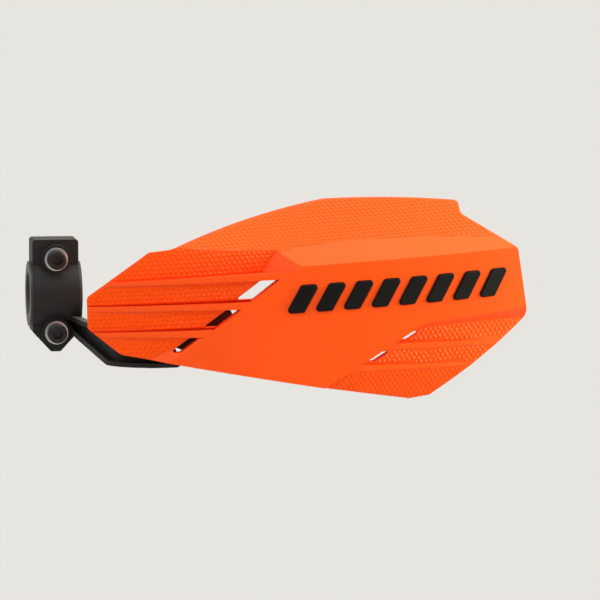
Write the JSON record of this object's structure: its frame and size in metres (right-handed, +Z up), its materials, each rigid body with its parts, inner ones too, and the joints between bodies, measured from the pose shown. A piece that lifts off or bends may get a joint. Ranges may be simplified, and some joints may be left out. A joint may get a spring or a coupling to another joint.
{
  "type": "motorcycle hand guard",
  "caption": "Curved vented plastic hand guard with textured sunk strips and raised inlay bars, on a moulded arm with a split clamp for a handlebar.",
  "frame": {"origin": "middle of the bar clamp, on the axis of the handlebar", "axes": "+X outboard along the bar, +Y to the rear, +Z up"},
  "size_m": [0.2517, 0.1152, 0.1018],
  "materials": {
    "orange_shield": "satin moulded polypropylene, orange",
    "inlay_rubber": "matt black moulded rubber",
    "black_nylon": "fine-grained black glass-filled nylon",
    "reducer_plastic": "smooth dark grey plastic",
    "black_steel": "black oxide steel",
    "zinc_steel": "zinc-plated steel",
    "insert_brass": "turned brass"
  },
  "bodies": {
    "root": {"guard_shield": "orange_shield", "inlay_bars": "inlay_rubber", "mount_arm": "black_nylon", "clamp_cap": "black_nylon", "reducer_front": "reducer_plastic", "reducer_rear": "reducer_plastic", "clamp_bolts": "black_steel", "clamp_washers": "zinc_steel", "clamp_nuts": "zinc_steel", "thread_inserts": "insert_brass", "crush_sleeves": "zinc_steel", "screw_washers": "zinc_steel", "shield_screws": "black_steel"}
  },
  "joints": []
}
